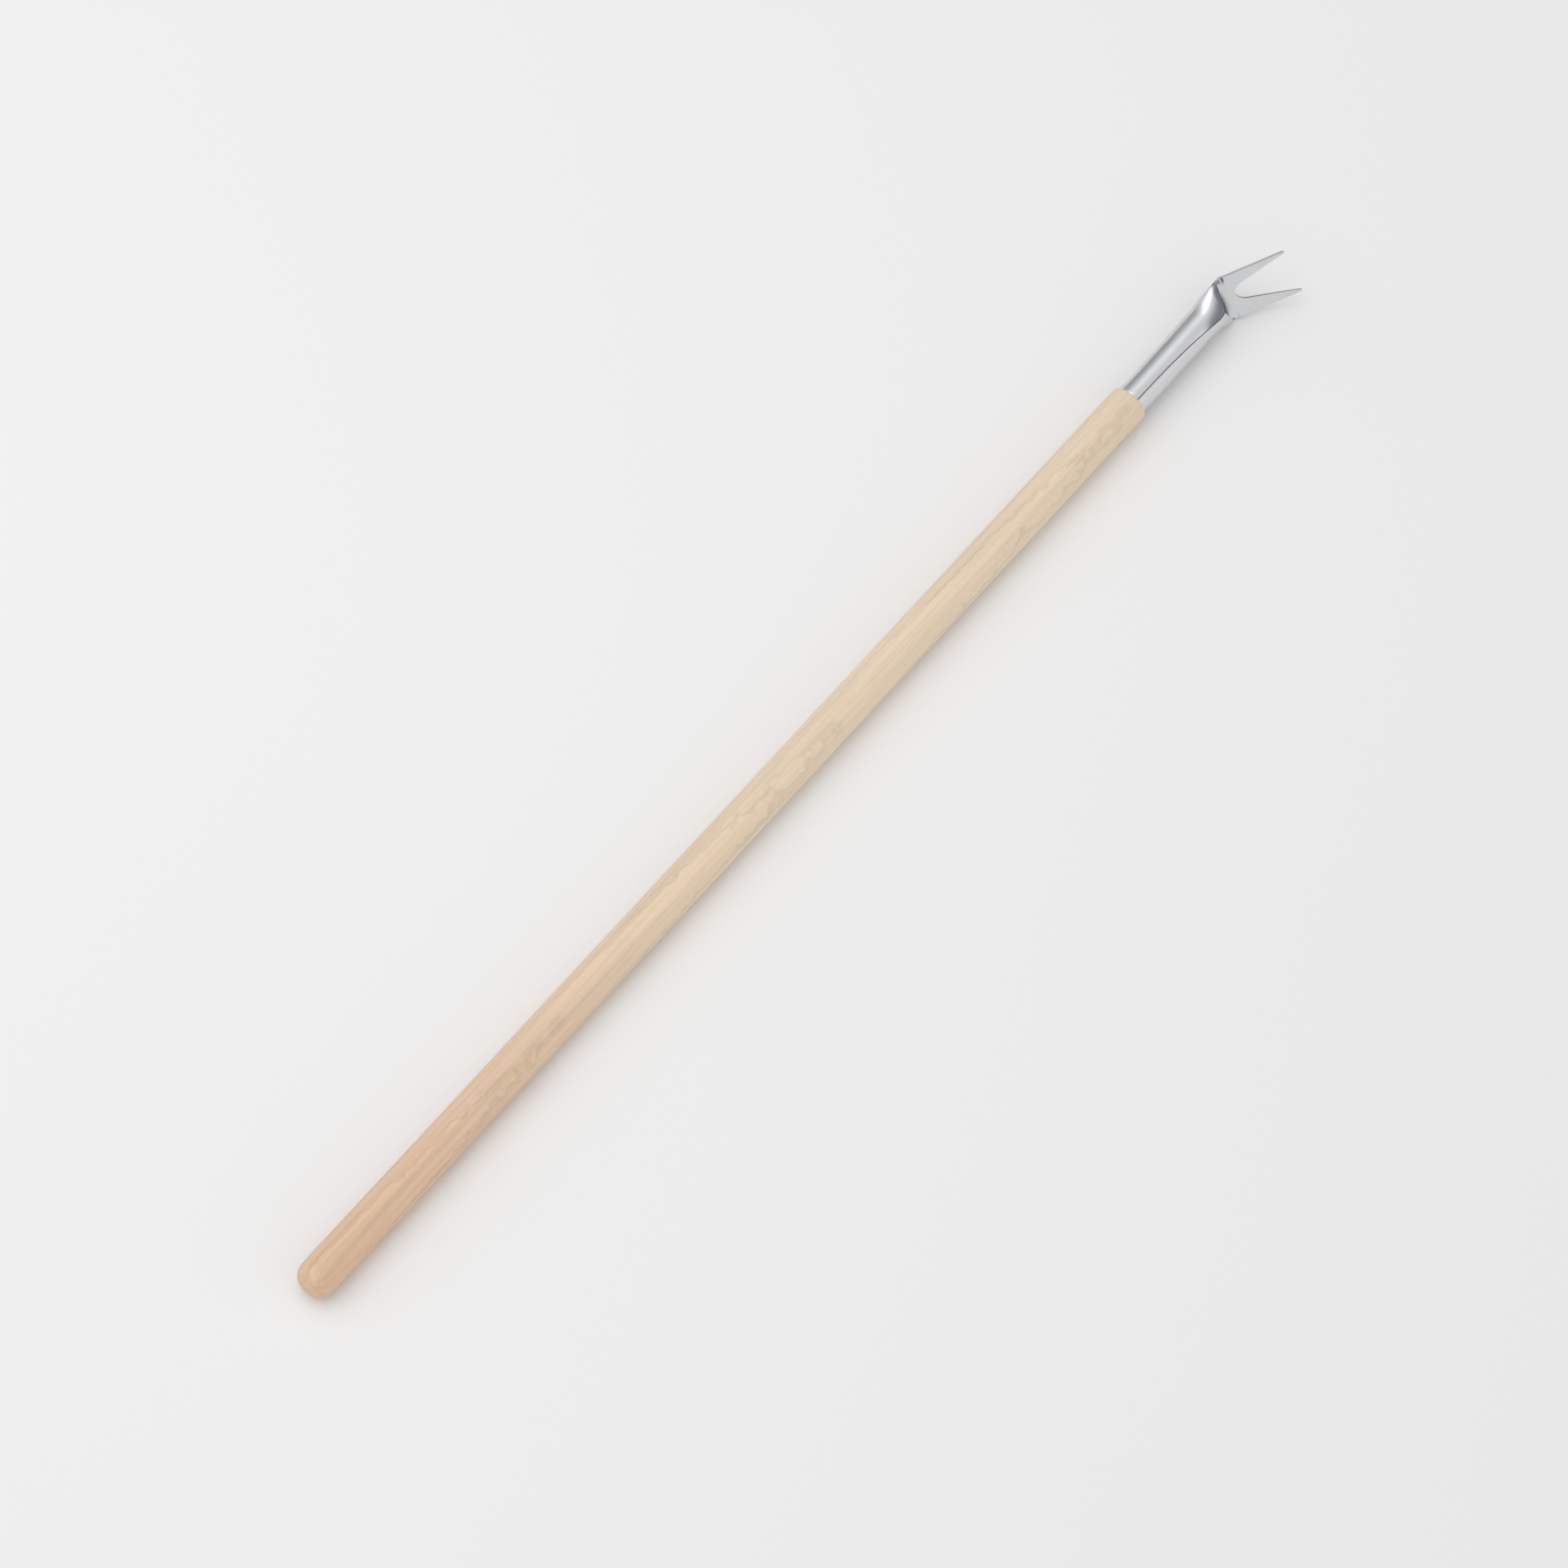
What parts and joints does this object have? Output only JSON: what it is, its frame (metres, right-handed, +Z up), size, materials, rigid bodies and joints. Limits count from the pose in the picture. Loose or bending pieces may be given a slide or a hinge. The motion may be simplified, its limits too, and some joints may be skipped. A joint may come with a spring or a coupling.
{
  "type": "marshmallow roasting fork",
  "caption": "Long round wooden handle with a domed butt and a rolled sheet-steel socket that opens into a bent fork with pointed tines.",
  "frame": {"origin": "centre of the bounding box's underside, where the fork lies on the ground", "axes": "+X along the handle from the butt to the tines, +Z up, +Y to the left of a person who looks along the handle"},
  "size_m": [0.8012, 0.04, 0.0375],
  "materials": {
    "wood": "pale beech dowel, sanded smooth and left plain",
    "steel": "sheet steel, polished, with a soft satin sheen",
    "pin_steel": "bright steel nail"
  },
  "bodies": {
    "root": {"handle": "wood", "fork_head": "steel", "retaining_pin": "pin_steel"}
  },
  "joints": []
}
